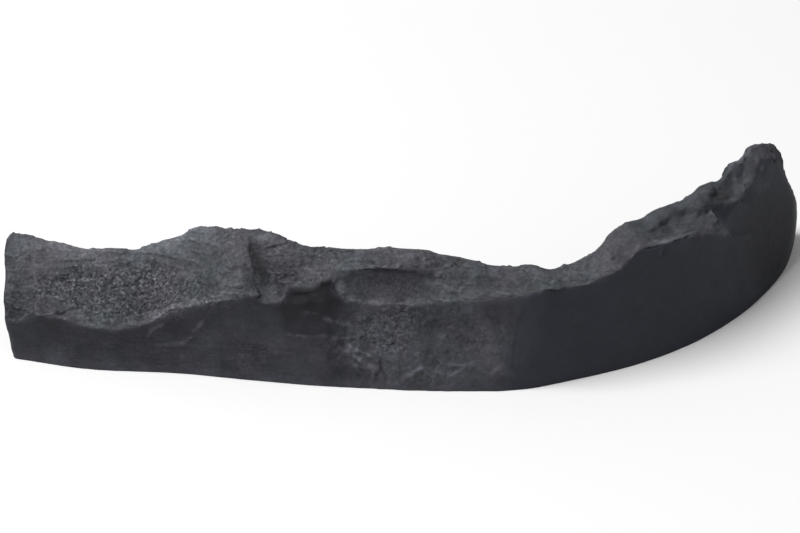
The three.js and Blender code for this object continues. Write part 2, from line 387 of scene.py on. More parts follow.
# %% [markdown]
# ## The masks of this stone
# The rim is the line between the dark front and the pale top, and the bend is where the smooth right face
# begins. Inside the front, a pocket and an end face are riven too, and some stretches of the break have
# crumbled to grains. These outlines are short lists of pixels, and noise makes the borders
# between them ragged.

# %% Outlines in the photograph
RIM = [
    (-20, 320), (12, 319), (30, 312), (60, 316), (90, 325), (110, 329), (130, 327), (150, 319), (195, 305),
    (245, 294), (262, 300), (283, 300), (290, 286), (312, 286), (331, 279), (344, 302), (415, 305),
    (466, 299), (520, 292), (560, 287), (612, 277), (640, 247), (690, 237), (722, 233), (745, 203),
    (770, 180), (784, 165), (800, 150),
]
BEND = [(512, 420), (512, 376), (510, 358), (513, 340), (517, 322), (524, 306), (526, 294), (526, 200)]
LEDGE_FACET = [
    (652, 244), (668, 230), (690, 217), (708, 207), (722, 224), (733, 238), (716, 235), (690, 238),
]
POCKET = [
    (281, 303), (289, 286), (312, 286), (332, 279), (342, 300), (352, 318), (330, 334), (286, 334),
]
LEFT_FACET = [(0, 284), (12, 294), (24, 304), (22, 312), (11, 322), (0, 322)]
END_FACE = [
    (709, 205), (724, 226), (738, 243), (770, 240), (790, 200), (783, 176), (760, 192), (738, 203),
]

below_rim = beside_path(RIM)[0]
past_bend = beside_path(BEND)[0]
in_pocket = inside_ring(POCKET)
print("points in the pocket:", int((in_pocket > 0).sum()))

# %% Where the stone is broken
RIM_WAVES = [(11.0, 0.22), (4.5, 0.14)]
BROKEN_FACING = (0.3, 0.62)
FRONT_BORDER, LEDGE_BORDER, RIVEN_BORDER = (1, 5), (-1, 3), (-2, 2)
SCAR, SCAR_SOFT = ((388, 287), (60, 18)), 0.4
SCAR_BROKEN, LEDGE_BROKEN = 0.35, 0.55


def waves(places, sizes):
    """Waves of several sizes on top of one another, each with its own height."""
    return sum(height * wave(places, size_mm) for size_mm, height in sizes)


upward = outward[:, 2] + waves(points, RIM_WAVES)
front = ramp(below_rim, *FRONT_BORDER) * shown
scar = oval(*SCAR, SCAR_SOFT)
broken = ramp(upward, *BROKEN_FACING) * (1 - front)
broken += (SCAR_BROKEN - broken) * scar
broken = np.maximum(broken, LEDGE_BROKEN * ramp(inside_ring(LEDGE_FACET), *LEDGE_BORDER) * shown)
for ring in (POCKET, END_FACE):
    broken *= 1 - ramp(inside_ring(ring), *RIVEN_BORDER) * shown
print("share of broken stone:", round(float(broken.mean()), 2))

# %% Where the relief is quiet
QUIET = {
    "rib_flank": ((255, 260), (15, 48)),
    "scar_end": ((338, 290), (18, 30)),
    "nose": ((270, 302), (18, 11)),
    "bowl_rim": ((98, 327), (14, 7)),
    "foot_fleck": ((491, 362), (13, 11)),
}
QUIET_SOFT = 0.4
POCKET_QUIET = (-6, 2)

quiet = np.maximum(scar, ramp(in_pocket, *POCKET_QUIET) * shown)
for centre, reach in QUIET.values():
    quiet = np.maximum(quiet, oval(centre, reach, QUIET_SOFT))
for centre, reach, _ in CREST_EASED.values():
    quiet = np.maximum(quiet, through(centre, reach, QUIET_SOFT))
print("share of quiet stone:", round(float(quiet.mean()), 2))

# %% Where the stone is crumbled
CRUMBLED = {
    "bowl": (
        [(28, 284), (60, 268), (110, 266), (150, 270), (196, 280), (175, 305), (140, 318), (70, 314)], 0.9
    ),
    "bowl_rim": ([(140, 318), (165, 308), (195, 297), (245, 289), (246, 299), (195, 307), (165, 317)], 0.9),
    "front_patch": ([(228, 347), (248, 340), (272, 341), (274, 353), (250, 360), (232, 357)], 0.25),
    "column": ([(357, 312), (394, 310), (418, 312), (414, 335), (404, 364), (382, 356), (362, 336)], 0.6),
}
UNEVEN_MM, UNEVEN_PIXELS = 16.0, 16
CRUMBLED_BORDER = (-8, 12)

uneven = UNEVEN_PIXELS * wave(points, UNEVEN_MM)
crumbled = np.zeros(COUNT)
for ring, amount in CRUMBLED.values():
    crumbled = np.maximum(crumbled, amount * ramp(inside_ring(ring) + uneven, *CRUMBLED_BORDER) * shown)
print("share of crumbled stone:", round(float(crumbled.mean()), 2))

# %% Where the stone is calm, rough, striped or smooth
CALM_RISES = [(0.4, 430, 480), (0.6, 575, 640)]
ROUGH_FACE = (420, 345), (120, 60)
STRIPED_FACE = (160, 362), (190, 40)
END_FACING = (0.3, 0.6)
RIGHT_RISES = [(0.8, -2, 4), (0.2, 0, 26)]


def ramps(values, rises):
    """Several ramps on top of one another, each with its amount, low and high."""
    return sum(amount * ramp(values, low, high) for amount, low, high in rises)


calm = ramps(photo[:, 0], CALM_RISES) * shown
rough_face = oval(*ROUGH_FACE) * (1 - broken)
striped_face = oval(*STRIPED_FACE) * (1 - broken)
right_end = np.maximum(shown, ramp(outward[:, 0], *END_FACING))
right_face = ramps(past_bend, RIGHT_RISES) * right_end * (1 - broken)
print("share of the smooth right face:", round(float(right_face.mean()), 2))

# %% [markdown]
# ## Natural relief
# Each break leaves flat chips that tilt every way. Voronoi cells make good chips: each cell gets a
# plane of its own, so the surface has facets with worn edges between them. Where the stone parted like
# glass it has shallow shells with ridges between them. The layers of the slate, which dip 18 degrees
# towards the back, show as thin ledges, present here and missing there. Grains stand up where the break
# crumbled.

# %% Chips and shells as functions
CHIP_SEED = 17.3
BORDER_WOBBLE, BORDER_FINENESS = 0.35, 2.3
BORDER_SHIFTS = [Vector((0, 0, 0)), Vector((31.7, 0, 0)), Vector((0, 47.3, 0))]
BORDER_SHARE = 0.25
TILT_SEED = 91.7
LEVEL_TILT = Vector((0.5, 0.5, 0.5))
SHELL_LEVEL = 0.2


def cells(places, size_mm):
    """Each point's place among the cells, its nearest cell's middle, and the distances to the two nearest."""
    for place in places / size_mm + CHIP_SEED:
        at = Vector(place)
        wobble = [noise.noise(at * BORDER_FINENESS + shift) for shift in BORDER_SHIFTS]
        at += BORDER_WOBBLE * Vector(wobble)
        distances, middles = noise.voronoi(at)
        yield at, middles[0], distances[0], distances[1]


def chips(places, size_mm):
    """The height of flat chips, each tilted in its own way, as a share of their size."""
    heights = np.empty((len(places), 2))
    for index, (at, middle, near, second) in enumerate(cells(places, size_mm)):
        tilt = noise.cell_vector(middle * TILT_SEED) - LEVEL_TILT
        heights[index] = (at - middle).dot(tilt), second - near
    return heights[:, 0] * ramp(heights[:, 1], 0, BORDER_SHARE)


def shells(places, size_mm):
    """Shallow hollows, from about -0.2 in their middles to 0.3 on the ridges between them."""
    return np.array([near * near - SHELL_LEVEL for _, _, near, _ in cells(places, size_mm)])


print("borders of chips are worn over this share of their size:", BORDER_SHARE)

# %% Ledges, torn stone and grains as functions
LAYER_DIP = math.radians(18)
LEDGE_WAVES = [(45.0, 4.0), (14.0, 1.6)]
LEDGE_RUN_MM = 13.0
LEDGE_SHOWS = (0.0, 0.2)
LAYER_SEED, LAYER_SEED_STEP = 0.4, 3.7
RISER_SHARE = 0.14
TORN_MM = np.array([28.0, 14.0, 9.0])
TORN_ROUGHNESS, TORN_FINENESS, TORN_OCTAVES = 0.75, 2.1, 5
GRAIN_FALL = 1.6

layer_up = np.array([0.0, math.sin(LAYER_DIP), math.cos(LAYER_DIP)])


def ledges(places, thickness_mm):
    """The broken edges of thin layers, from 0 to 1, each present only here and there."""
    height = places @ layer_up + waves(places, LEDGE_WAVES)
    layer, share = np.divmod(height / thickness_mm, 1)
    seeds = layer * LAYER_SEED_STEP + LAYER_SEED
    runs = np.stack([places[:, 0] / LEDGE_RUN_MM, places[:, 1] / LEDGE_RUN_MM, seeds], axis=1)
    profile = np.minimum(share / RISER_SHARE, (1 - share) / (1 - RISER_SHARE))
    return profile * ramp(wave(runs, 1.0), *LEDGE_SHOWS)


def torn(places):
    """Rough relief of many sizes, drawn out along the slab, from about -1 to 1."""
    settings = TORN_ROUGHNESS, TORN_FINENESS, TORN_OCTAVES
    return np.array([noise.fractal(Vector(place), *settings) for place in places / TORN_MM])


def grains(places, size_mm):
    """Rounded grains, from 0 between them to 1 on top."""
    nearest = np.array([noise.voronoi(Vector(place))[0][0] for place in places / size_mm])
    return np.clip(1 - GRAIN_FALL * nearest, 0, 1)


print("layers dip by, degrees:", round(math.degrees(LAYER_DIP)))

# %% Relief of the broken stone
CHIP_MM, CHIP_SLOPE = 24.0, 0.25
SMALL_CHIP_MM, SMALL_CHIP_SLOPE = 10.0, 0.35
TORN_HEIGHT_MM = 1.8
FINE_LEDGE_MM, FINE_LEDGE_HEIGHT_MM, LEDGE_LEVEL = 5.0, 1.9, 0.2
BACK_LEDGE_LOWER_MM, STRIPE_HEIGHT_MM = 0.5, 0.3
# Real grains are 1.5 to 2 mm wide. They are carved coarser, because the skin's own points lie more than a
# millimetre apart, and the paint adds finer ones.
GRAIN_MM, GRAIN_HEIGHT_MM, GRAIN_LEVEL_MM = 3.0, 0.5, 0.15
BACK_HACKLY = 0.9
CRUMBLED_FLATTER, CALM_CHIPS_FLATTER, CALM_FLATTER = 0.6, 0.4, 0.75

hackly = np.clip(broken + BACK_HACKLY * hidden, 0, 1) * (1 - CRUMBLED_FLATTER * crumbled)
push = hackly * (1 - CALM_CHIPS_FLATTER * calm) * CHIP_SLOPE * CHIP_MM * chips(points, CHIP_MM)
hackly *= 1 - CALM_FLATTER * calm
push += hackly * SMALL_CHIP_SLOPE * SMALL_CHIP_MM * chips(points, SMALL_CHIP_MM)
push += hackly * TORN_HEIGHT_MM * torn(points)
ledge_height = hackly * (FINE_LEDGE_HEIGHT_MM - BACK_LEDGE_LOWER_MM * hidden)
ledge_height += STRIPE_HEIGHT_MM * striped_face
push += ledge_height * (ledges(points, FINE_LEDGE_MM) - LEDGE_LEVEL)
push += crumbled * (GRAIN_HEIGHT_MM * grains(points, GRAIN_MM) - GRAIN_LEVEL_MM)
print("relief of the break, mm:", round(float(push.min()), 2), "to", round(float(push.max()), 2))

# %% Relief of the riven faces and of the back
FLAKE_MM, FLAKE_SLOPE = 13.0, 0.4
SWELL_MM, SWELL_HEIGHT_MM, ROUGH_SWELL_MM, RIGHT_SWELL_LOWER_MM = 13.0, 0.3, 0.6, 0.25
RIPPLE_MM, RIPPLE_HEIGHT_MM, ROUGH_RIPPLE_MM = 4.5, 0.1, 0.3
SHELL_MM, SHELL_HEIGHT_MM = 30.0, 5.0
LEDGE_MM, LEDGE_HEIGHT_MM = 7.0, 1.6

push += rough_face * FLAKE_SLOPE * FLAKE_MM * chips(points, FLAKE_MM)
swell_height = SWELL_HEIGHT_MM + ROUGH_SWELL_MM * rough_face - RIGHT_SWELL_LOWER_MM * right_face
push += swell_height * wave(points, SWELL_MM)
push += (RIPPLE_HEIGHT_MM + ROUGH_RIPPLE_MM * rough_face) * wave(points, RIPPLE_MM)
shell_relief = hidden * SHELL_HEIGHT_MM * shells(points, SHELL_MM)
push += shell_relief + LEDGE_HEIGHT_MM * hidden * ledges(points, LEDGE_MM)
print("shells of the back, mm:", np.round([shell_relief.min(), shell_relief.max()], 2))

# %% Quieten the relief, and bite into the rim
# Relief in a crease or on the crest would fold over itself, and relief at the foot would fray the line
# that the stone stands on, so it fades in these places.
QUIETENED = 0.85
CREASE_ROUNDS, CREASE_MM, CREASE_FLATTER = 14, (0.3, 1.5), 0.7
RIM_BITES = [(15.0, 3.0), (6.0, 1.8)]
CREST_RELIEF, CREST_FULLNESS_MM = 0.15, 0.8
FOOT_RELIEF, FOOT_MM = 0.4, 6


def along_outward(moves):
    """How far each move goes in the way that the surface faces."""
    return np.einsum("ij,ij->i", moves, outward)


push *= 1 - QUIETENED * quiet
creased = along_outward(relax(points, CREASE_ROUNDS) - points)
push *= 1 - CREASE_FLATTER * ramp(creased, *CREASE_MM)
# This is 1 on the line between broken and riven stone, and 0 on either side of it.
on_rim = 4 * broken * (1 - broken) * shown * (1 - quiet)
push -= on_rim * sum(depth * np.maximum(wave(points, size), 0) for size, depth in RIM_BITES)
push *= CREST_RELIEF + (1 - CREST_RELIEF) * off_crest
push += CREST_FULLNESS_MM * (1 - off_crest)
push *= FOOT_RELIEF + (1 - FOOT_RELIEF) * ramp(points[:, 2], 0, FOOT_MM)
print("relief, mm:", round(float(push.min()), 2), "to", round(float(push.max()), 2))

# %% [markdown]
# ## The marks that make this stone itself
# Random relief gives any slate. These marks give this one: the rib, the lip over the long scar, the dark
# pocket, the ledges of the middle face and the crevices of the right end. Each is a path in photograph
# pixels with a profile across it: heights in millimetres at distances in pixels, counted to the right of
# someone who walks the path. A step is an edge with the stone on its right standing higher or lower,
# and a crack is a narrow groove. The last number is how much painted highlight the edge gets.

# %% Profiles across a path
SHARP_PIXELS = 1.3
SHOULDER, STEP_END = 0.6, 1.5
RIB = [(-20, 0), (-1.5, 0.9), (1.5, -0.7), (12, -0.5), (30, 0)]


def step(height_mm, reach):
    """Sharp at the path, sinking to a shoulder, and level again at one and a half times its reach."""
    shoulder = (SHOULDER * reach, SHOULDER * height_mm)
    return [(-SHARP_PIXELS, 0), (SHARP_PIXELS, height_mm), shoulder, (STEP_END * reach, 0)]


def crack(depth_mm, width):
    """A groove with its deepest line on the path."""
    return [(-width, 0), (0, -depth_mm), (width, 0)]


print("rib stands over its flank by, mm:", RIB[1][1] - RIB[2][1])

# %% Marks of the top
TOP_MARKS = {
    "rib": ([(256, 282), (254, 272), (251, 260), (249, 248), (246, 222)], RIB, 0.3),
    "lip": ([(330, 274), (345, 270.5), (378, 268.5), (405, 270), (448, 281)], step(-1.8, 14), 0.25),
    "scar_rim": ([(346, 306), (370, 304.5), (415, 304), (445, 300), (466, 298)], step(0.6, 7), 0.2),
    "scoop_ledge": ([(304, 279), (316, 275.5), (330, 272)], step(-1.0, 6), 0.0),
    "scoop_ridge": ([(287, 262), (300, 267), (318, 268), (335, 262)], step(0.8, 7), 0.15),
    "bowl_layer_high": ([(105, 262), (125, 259), (150, 256), (180, 252), (205, 250)], step(-0.6, 9), 0.0),
    "bowl_layer_middle": ([(150, 264), (170, 262), (195, 263), (236, 259)], step(-0.9, 8), 0.1),
    "bowl_layer_low": ([(168, 276), (190, 274), (215, 276), (240, 272)], step(-0.8, 8), 0.1),
    "left_layer": ([(5, 278), (15, 280), (26, 278)], step(-0.7, 8), 0.0),
    "ledge_crevice_left": ([(634, 232), (645, 230), (661, 229.5)], step(-1.1, 7), 0.0),
    "ledge_crevice_right": ([(679, 215), (688, 212), (697, 209), (710, 203)], step(-1.1, 8), 0.0),
    "horn_crevice": ([(706, 196), (715, 193), (724, 194), (733, 199)], step(-0.9, 8), 0.0),
    "horn_edge": ([(739, 203), (744, 193), (744, 181)], step(-1.2, 8), 0.4),
    "horn_sill": ([(752, 189), (760, 185), (769, 179)], step(0.8, 5), 0.35),
    "horn_nick": ([(764, 149), (768, 158), (776, 157)], step(-0.8, 6), 0.0),
    "ledge_rim": (
        [(612, 277), (628, 262), (640, 247), (655, 242), (690, 237), (722, 233)], step(-0.3, 4), 0.45
    ),
    "far_rim": ([(556, 288), (580, 285), (600, 280), (614, 276)], step(-0.3, 4), 0.3),
}
print("marks of the top:", len(TOP_MARKS))

# %% Marks of the front
FRONT_MARKS = {
    "left_arc": ([(145, 338), (151, 331), (158, 326), (165, 322)], step(0.9, 5), 0.6),
    "left_streak": ([(152, 344), (174, 343.5), (184, 342), (196, 334)], step(0.9, 5), 0.6),
    "left_hook": ([(190, 331), (197, 328), (201, 323), (204, 317)], step(0.8, 5), 0.5),
    "pocket_edge": ([(280, 312), (283, 300), (290, 286), (312, 286), (331, 279)], step(-1.2, 12), 0.0),
    "pocket_sill": ([(282, 334), (300, 335), (315, 336), (332, 336)], step(0.9, 6), 0.5),
    "stair_top": ([(303, 312), (312, 313.5), (320, 314.5)], step(0.8, 5), 0.7),
    "stair_middle": ([(320, 318), (334, 321), (346, 324), (354, 325)], step(1.1, 6), 1.0),
    "stair_low": ([(330, 338), (340, 337), (352, 337.5)], step(0.8, 5), 0.7),
    "slant": ([(330, 339), (343, 348), (357, 358), (368, 364), (382, 379)], step(1.5, 8), 1.3),
    "slant_short": ([(343, 341), (352, 347), (362, 352), (374, 358)], step(1.2, 7), 1.2),
    "slant_low": ([(352, 362), (362, 366), (372, 367), (378, 374)], step(1.0, 6), 1.0),
    "middle_crack": ([(378, 356), (381, 366), (384, 374), (388, 385)], crack(1.3, 2.5), 0.0),
    "foot_swell": ([(404, 378), (414, 371), (422, 367), (430, 367), (436, 372)], step(1.8, 12), 0.12),
    "foot_ridge": ([(428, 368), (440, 371), (452, 374), (460, 369), (468, 363)], step(1.4, 9), 0.12),
    "foot_ridge_upper": ([(436, 360), (450, 364), (465, 364), (480, 362)], step(1.1, 7), 0.15),
    "bend_edge": (
        [(512, 380), (510, 358), (513, 340), (517, 322), (524, 306), (525, 297)], step(-0.8, 12), 0.15
    ),
    "foot_fleck": ([(488, 376), (496, 369), (505, 361)], step(0.9, 8), 0.3),
    "rim_chip": ([(660, 257), (663, 249), (665, 242)], step(-0.8, 6), 0.25),
    "end_ridge": ([(739, 244), (724, 226), (708, 207)], step(-0.9, 14), 0.4),
    "end_sill": ([(733, 236), (742, 236.5), (752, 236)], step(0.6, 4), 0.2),
}
print("marks of the front:", len(FRONT_MARKS))

# %% Carve
POCKET_HOLLOW, POCKET_SOFT, POCKET_BITE_MM = ((307, 296), (28, 16)), 0.8, 3.0
# The painted highlight along an edge is strong here and faint there, and its width changes too, so that it
# isn't a drawn line.
HIGHLIGHT_MM, HIGHLIGHT_LIMITS, HIGHLIGHT_LEAST, HIGHLIGHT_MORE = 5.0, (-0.35, 0.35), 0.4, 1.2
HIGHLIGHT_WIDTH_MM, WIDTH_LIMITS, WIDTH_LEAST, WIDTH_MORE = 8.0, (-0.3, 0.3), 0.6, 1.6
WIDTH_SEED = 20.0
HIGHLIGHT_PIXELS = 1.1

marks = -POCKET_BITE_MM * oval(*POCKET_HOLLOW, POCKET_SOFT)
# Painted highlight along each mark's edge, standing in for the light that its ledge catches.
painted_edge_highlight = np.zeros(COUNT)
worn = HIGHLIGHT_LEAST + HIGHLIGHT_MORE * ramp(wave(points, HIGHLIGHT_MM), *HIGHLIGHT_LIMITS)
widening = ramp(wave(points + WIDTH_SEED, HIGHLIGHT_WIDTH_MM), *WIDTH_LIMITS)
highlight_width = HIGHLIGHT_PIXELS * (WIDTH_LEAST + WIDTH_MORE * widening)
for way, profile, highlight in [*TOP_MARKS.values(), *FRONT_MARKS.values()]:
    right, fade = beside_path(way)
    distances, heights = zip(*profile)
    marks += np.interp(right, distances, heights) * fade
    painted_edge_highlight += highlight * worn * np.exp(-((right / highlight_width) ** 2)) * fade
carved = write_points(points + outward * (push + marks)[:, None])
print("carved stone, mm:", np.round(carved.max(axis=0) - carved.min(axis=0), 1))

# %% [markdown]
# ## What the paint needs to know
# Rubbed edges of slate are paler than its faces, and its hollows get painted shade. How far a point stands
# out from its neighbours tells edges and hollows apart. That, the kind of surface and the tone of each
# stretch, with its painted highlights and painted shade, are stored on the mesh as attributes, so that the
# material can read them.

# %% Pale worn edges and painted shade in hollows
EDGE_SCALES = [(2, 0.5, 0.4), (14, 2.0, 0.25)]
DARKEST_HOLLOW_SHADE = -0.2
PLAIN_FOOT_MM = 5
PLAIN_POCKET = (-4, 2)

# Convex edges are paled as wear, and hollows are darkened as painted shade.
worn_edges_and_hollow_shade = np.zeros(COUNT)
for rounds, height_mm, amount in EDGE_SCALES:
    stand_out = along_outward(carved - relax(carved, rounds))
    worn_edges_and_hollow_shade += amount * np.clip(stand_out / height_mm, -1, 1)
worn_edges_and_hollow_shade = np.maximum(worn_edges_and_hollow_shade, DARKEST_HOLLOW_SHADE) * ramp(points[:, 2], 0, PLAIN_FOOT_MM)
worn_edges_and_hollow_shade *= 1 - ramp(in_pocket, *PLAIN_POCKET)
print("edges and hollows:", round(float(worn_edges_and_hollow_shade.min()), 2), "to", round(float(worn_edges_and_hollow_shade.max()), 2))

# %% Tones of single places
# Each is a place and a reach in pixels, and how much paler or darker the stone is there. Some are painted
# light or painted shade, as noted beside them.
TONES = {
    "crest_bloom": ((206, 234), (26, 14), 0.25),
    # Painted light on the rib's left flank, which faces the lamp.
    "rib_flank": ((236, 246), (14, 24), 0.15),
    "rib_crest": ((266, 238), (16, 10), 0.35),
    # Painted light on the lower left flank of the rib.
    "rib_left": ((246, 266), (9, 16), 0.3),
    "scoop": ((278, 274), (34, 18), -0.32),
    # Painted light that lifts the shade in the corner at the end of the scar.
    "pocket_ear": ((338, 288), (10, 14), 0.9),
    "pocket_stairs": ((343, 325), (16, 30), 0.3),
    "scar": ((395, 291), (58, 14), -0.18),
    "bowl_corner": ((35, 304), (34, 18), -0.25),
    "bowl_hollow": ((136, 307), (44, 12), -0.3),
    "bowl_right": ((200, 285), (28, 16), -0.22),
    "left_end": ((18, 280), (24, 26), -0.22),
    # Painted shade under the overhanging lip.
    "under_lip": ((385, 278), (62, 12), -0.25),
    "middle_face": ((385, 338), (48, 50), 0.3),
    "blotched_face": ((460, 350), (80, 50), 0.27),
    "plain_facet": ((443, 322), (30, 20), -0.14),
    "below_slant": ((346, 372), (28, 14), -0.16),
    "foot_fleck": ((500, 369), (10, 11), 0.3),
    "shelf": ((500, 282), (60, 14), -0.24),
    # Painted shade on the right end, which faces away from the lamp.
    "far_end": ((780, 245), (60, 80), -0.38),
    "ledge_end": ((718, 229), (20, 14), 0.4),
    "horn": ((755, 168), (30, 34), 0.35),
    # Painted light on the horn's left flank, which faces the lamp.
    "horn_flank": ((738, 167), (10, 18), 0.6),
    "horn_front": ((743, 186), (6, 10), 0.4),
    "horn_face": ((754, 167), (9, 15), -0.35),
    # Painted light that lifts the shade of the pit where the ledge starts.
    "ledge_start": ((670, 219), (11, 10), 0.35),
    "far_shelf": ((619, 258), (12, 12), -0.25),
}
print("places with a tone:", len(TONES))

# %% Tones along paths
# Each is a path, its reach to both sides in pixels, and how much paler or darker the stone is along it. Some
# are painted highlights or painted shade, as noted beside them.
BANDS = {
    "left_crest": (
        [(4, 236), (45, 244), (95, 251), (140, 249), (180, 236), (205, 229), (250, 230)], 14, 0.64
    ),
    "bowl_rim": ([(140, 322), (165, 314), (195, 304), (245, 295)], 8, 0.25),
    # Painted shade on the rib's right flank, which faces away from the lamp.
    "rib_shade": ([(246, 232), (252, 248), (259, 262), (263, 276), (265, 292)], 6, -0.4),
    # Painted shade just under the pocket's rim.
    "pocket_lip": ([(280, 296), (292, 289.5), (312, 289), (336, 281)], 3, -0.22),
    # Painted shade in the crevice before the horn.
    "horn_hollow": ([(700, 207), (708, 202), (716, 196), (726, 197), (736, 200)], 6, -0.35),
    # Paler along the foot of the front.
    "paler_foot": (
        [(-30, 352), (50, 361), (110, 368), (200, 374), (300, 382), (400, 389), (500, 388)], 8, 0.2
    ),
    # Painted shade in the hollow between the foot ridges.
    "foot_hollow": ([(430, 363), (442, 365), (456, 369), (468, 371)], 3, -0.25),
    # Painted highlights on the tops of the foot's swell, ridge and shelf.
    "foot_swell": ([(400, 380), (410, 372), (420, 367), (432, 369)], 4, 0.22),
    "foot_ridge": ([(434, 367), (446, 371), (458, 373), (470, 367)], 4, 0.22),
    "foot_shelf": ([(436, 360), (450, 362), (468, 364), (484, 361)], 3, 0.18),
    "middle_crest": ([(300, 248), (365, 248), (420, 250), (460, 256)], 14, 0.15),
}
print("paths with a tone:", len(BANDS))

# %% Add the tones up
END_SHADE, BEND_BORDER = 0.25, (-9, 9)
LEFT_SHADE, LEFT_BORDER = 0.35, (-5, 6)
POCKET_SHADE, POCKET_BORDER, UNDER_RIM = 0.31, (-9, 3), (-1, 2)
RIM_SHADE, RIM_SHADE_FADE, RIM_SHADE_END = 0.27, (10, 42), (350, 320)
CRUMB_SHADE = 0.12
TONE_SOFT = 0.8

# Painted shade darkens the right end, which faces away from the lamp, the left facet, the pocket under the
# rim and the front just below the rim.
right_shade = ramp(past_bend, *BEND_BORDER) * right_end * (1 - broken)
tone = worn_edges_and_hollow_shade + painted_edge_highlight - END_SHADE * right_shade
tone -= LEFT_SHADE * ramp(inside_ring(LEFT_FACET), *LEFT_BORDER) * shown
tone -= POCKET_SHADE * ramp(in_pocket, *POCKET_BORDER) * ramp(below_rim, *UNDER_RIM) * shown
near_rim = front * (1 - ramp(below_rim, *RIM_SHADE_FADE))
tone -= RIM_SHADE * near_rim * ramp(photo[:, 0], *RIM_SHADE_END)
for centre, reach, amount in TONES.values():
    tone += amount * oval(centre, reach, TONE_SOFT)
for way, reach, amount in BANDS.values():
    right, fade = beside_path(way)
    tone += amount * np.exp(-((right / reach) ** 2)) * fade
tone -= CRUMB_SHADE * crumbled
print("tone:", round(float(tone.min()), 2), "to", round(float(tone.max()), 2))

# %% How grainy, streaked and patchy the stone is
GRAIN_BASE, GRAIN_LEAST = 0.1, 0.01
BROKEN_GRAIN, CALM_LESS_GRAIN = 0.2, 0.9
GRAIN_SHARES = [(0.1, rough_face), (0.8, crumbled), (-0.09, right_face), (0.06, striped_face), (0.16, scar)]
BROKEN_HACKLE, CALM_LESS_HACKLE, CRUMBLED_LESS_HACKLE = 0.45, 0.85, 0.5
STRIPED_HACKLE, ROUGH_HACKLE = 0.5, 0.15
RIGHT_LESS_PATCHY = 0.75
ROUGH_BROKEN = 0.3

grain = GRAIN_BASE + BROKEN_GRAIN * broken * (1 - CALM_LESS_GRAIN * calm)
for amount, mask in GRAIN_SHARES:
    grain += amount * mask
grain = np.clip(grain, GRAIN_LEAST, 1)
hackle = np.clip(BROKEN_HACKLE * broken + hidden, 0, 1) * (1 - CALM_LESS_HACKLE * calm)
hackle *= 1 - CRUMBLED_LESS_HACKLE * crumbled
hackle += STRIPED_HACKLE * striped_face + ROUGH_HACKLE * rough_face
patchy = 1 - RIGHT_LESS_PATCHY * right_shade
paled = np.maximum(broken, ROUGH_BROKEN * rough_face)

masks = {"broken": paled, "grain": grain, "hackle": hackle, "patchy": patchy, "tone": tone}
for name, values in masks.items():
    attribute = skin.attributes.new(name, "FLOAT", "POINT")
    attribute.data.foreach_set("value", values.astype(np.float32))
print("stored:", {name: round(float(values.mean()), 2) for name, values in masks.items()})

# %% [markdown]
# ## Slate, riven and broken
# Slate is a fine-grained stone of clay, mica and quartz. Its index of refraction is about 1.55. A riven
# face is dark with a faint silky gleam, and a broken one is dull and paler because its crumbs scatter the
# light. The stone is nearly neutral, with a breath of blue, and passes into purple and green here and
# there. Colours are given as they look on a screen, and one function turns them to the linear numbers
# that the renderer works with.


# %% Helpers for the material
def linear(hex_colour):
    """A screen colour such as #40444a as linear red, green, blue and alpha."""
    screen = [int(hex_colour[i : i + 2], 16) / 255 for i in (1, 3, 5)]
    return [c / 12.92 if c <= 0.04045 else ((c + 0.055) / 1.055) ** 2.4 for c in screen] + [1]


def add(tree, kind, links=None, values=None, **settings):
    """Adds a node, sets its properties and input values, and links outputs of other nodes into it."""
    node = tree.nodes.new("ShaderNode" + kind)
    for name, value in settings.items():
        setattr(node, name, value)
    for name, value in (values or {}).items():
        node.inputs[name].default_value = value
    for name, output in (links or {}).items():
        tree.links.new(output, node.inputs[name])
    return node


def per_metre(size_mm):
    """A texture's scale for a pattern of this real size."""
    return 1 / (size_mm * MM)


print("middle grey of a screen, linear:", round(linear("#808080")[0], 3))

# %% Patterns of the slate
# Clouds and blotches of colour run over two or three centimetres, and mottles over less than one. Streaks
# follow the thin layers. Real crumbs are 1.5 to 2 mm wide: they are drawn at 2.4 mm, because finer ones
# hardly show where a pixel is 0.7 mm. The mica itself is far too fine to draw, and only dulls the gleam.
BLOTCH_MM, CLOUD_MM, MOTTLE_MM, SPECK_MM = 34.0, 20.0, 7.0, 2.4
STREAK_LONG_MM, STREAK_THIN_MM = 18.0, 4.0
CRUMB_MM = 2.4
BLOTCH_DETAIL, CLOUD_DETAIL, MOTTLE_DETAIL, SPECK_DETAIL = 2.0, 3.0, 5.0, 2.0
NOISE_ROUGHNESS = 0.6
STREAK_NOISE = {"Scale": 1.0, "Detail": 6.0, "Roughness": 0.72, "Distortion": 0.4}

slate = bpy.data.materials.new("slate_riven_and_broken")
slate.use_nodes = True
tree = slate.node_tree
tree.nodes.clear()
stone_place = add(tree, "TexCoord").outputs["Object"]
broken_mask, grain_mask, hackle_mask, patchy_mask, tone_mask = [
    add(tree, "Attribute", attribute_name=name).outputs["Fac"] for name in masks
]
blotch, cloud, mottle, speck = [
    add(
        tree, "TexNoise", {"Vector": stone_place},
        {"Scale": per_metre(size_mm), "Detail": detail, "Roughness": NOISE_ROUGHNESS},
    ).outputs["Fac"]
    for size_mm, detail in (
        (BLOTCH_MM, BLOTCH_DETAIL), (CLOUD_MM, CLOUD_DETAIL),
        (MOTTLE_MM, MOTTLE_DETAIL), (SPECK_MM, SPECK_DETAIL),
    )
]
along_layers = add(
    tree, "Mapping", {"Vector": stone_place},
    {
        "Rotation": (-LAYER_DIP, 0, 0),
        "Scale": (STREAK_LONG_MM * MM, STREAK_LONG_MM * MM, STREAK_THIN_MM * MM),
    },
    vector_type="TEXTURE",
)
streak = add(tree, "TexNoise", {"Vector": along_layers.outputs[0]}, STREAK_NOISE).outputs["Fac"]
scatter = add(tree, "TexNoise", {"Vector": stone_place}, {"Scale": per_metre(SPECK_MM)}).outputs["Color"]
